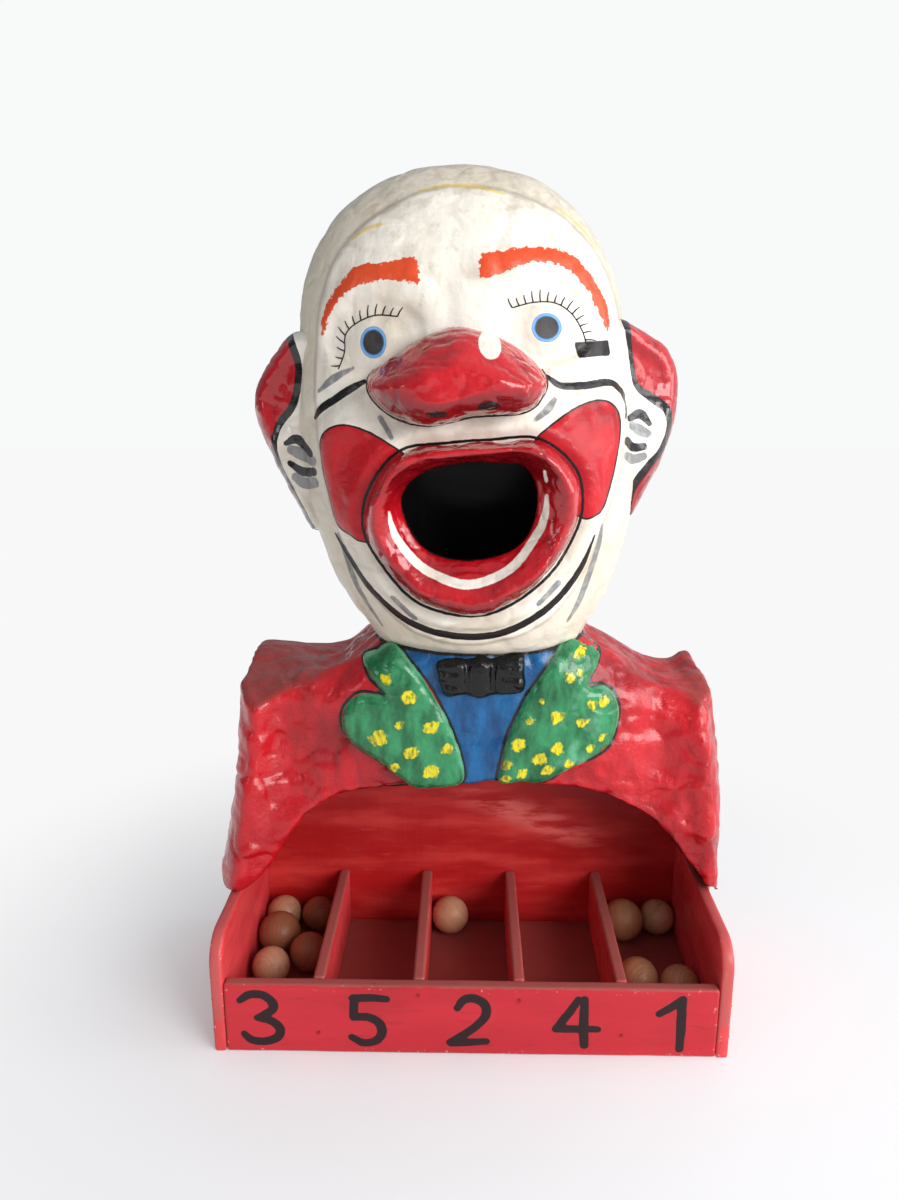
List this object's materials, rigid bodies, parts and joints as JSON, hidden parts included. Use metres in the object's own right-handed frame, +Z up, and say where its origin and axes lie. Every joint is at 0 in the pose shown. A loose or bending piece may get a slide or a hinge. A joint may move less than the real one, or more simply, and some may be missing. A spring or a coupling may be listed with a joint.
{
  "type": "ball toss game",
  "caption": "Papier-mache clown bust on a red wooden tray: balls thrown in the open mouth fall through the hollow head into numbered bins.",
  "frame": {"origin": "centre of the tray's underside", "axes": "+Z up, the front of the game faces -Y, +X to the right of someone who stands in front"},
  "size_m": [0.4673, 0.202, 0.731],
  "materials": {
    "tray_paint": "red gloss paint over pine boards, worn at the edges",
    "jacket_paint": "red gloss enamel over papier-mache",
    "face_paint": "off-white gloss enamel over papier-mache, with painted features",
    "lip_paint": "red gloss enamel over papier-mache",
    "lapel_paint": "green gloss enamel with yellow dabs over papier-mache",
    "bow_paint": "black gloss enamel over papier-mache",
    "bare_wood": "bare pine",
    "ball_wood": "bare turned beech",
    "nail_steel": "dull wire nails and tacks"
  },
  "bodies": {
    "game": {"tray_floor": "tray_paint", "front_board": "tray_paint", "left_side_wall": "tray_paint", "right_side_wall": "tray_paint", "divider_1": "tray_paint", "divider_2": "tray_paint", "divider_3": "tray_paint", "divider_4": "tray_paint", "back_board": "tray_paint", "bust_shell": "jacket_paint", "head_shell": "face_paint", "lip_ring": "lip_paint", "nose": "lip_paint", "left_ear": "lip_paint", "right_ear": "lip_paint", "left_lapel": "lapel_paint", "right_lapel": "lapel_paint", "bow_tie": "bow_paint", "left_cleat": "bare_wood", "right_cleat": "bare_wood", "front_board_nails": "nail_steel", "side_wall_nails": "nail_steel", "back_board_nails": "nail_steel", "bust_tacks": "nail_steel", "head_tacks": "nail_steel"},
    "ball_1": {"ball_1": "ball_wood"},
    "ball_2": {"ball_2": "ball_wood"},
    "ball_3": {"ball_3": "ball_wood"},
    "ball_4": {"ball_4": "ball_wood"},
    "ball_5": {"ball_5": "ball_wood"},
    "ball_6": {"ball_6": "ball_wood"},
    "ball_7": {"ball_7": "ball_wood"},
    "ball_8": {"ball_8": "ball_wood"},
    "ball_9": {"ball_9": "ball_wood"},
    "ball_10": {"ball_10": "ball_wood"}
  },
  "joints": [
    {"name": "ball_1_lift", "type": "slide", "parent": "game", "child": "ball_1", "axis": [0, 0, 1], "range_m": [0, 0.075]},
    {"name": "ball_2_lift", "type": "slide", "parent": "game", "child": "ball_2", "axis": [0, 0, 1], "range_m": [0, 0.075]},
    {"name": "ball_3_lift", "type": "slide", "parent": "game", "child": "ball_3", "axis": [0, 0, 1], "range_m": [0, 0.075]},
    {"name": "ball_4_lift", "type": "slide", "parent": "game", "child": "ball_4", "axis": [0, 0, 1], "range_m": [0, 0.075]},
    {"name": "ball_5_lift", "type": "slide", "parent": "game", "child": "ball_5", "axis": [0, 0, 1], "range_m": [0, 0.075]},
    {"name": "ball_6_lift", "type": "slide", "parent": "game", "child": "ball_6", "axis": [0, 0, 1], "range_m": [0, 0.075]},
    {"name": "ball_7_lift", "type": "slide", "parent": "game", "child": "ball_7", "axis": [0, 0, 1], "range_m": [0, 0.075]},
    {"name": "ball_8_lift", "type": "slide", "parent": "game", "child": "ball_8", "axis": [0, 0, 1], "range_m": [0, 0.075]},
    {"name": "ball_9_lift", "type": "slide", "parent": "game", "child": "ball_9", "axis": [0, 0, 1], "range_m": [0, 0.075]},
    {"name": "ball_10_lift", "type": "slide", "parent": "game", "child": "ball_10", "axis": [0, 0, 1], "range_m": [0, 0.075]}
  ]
}
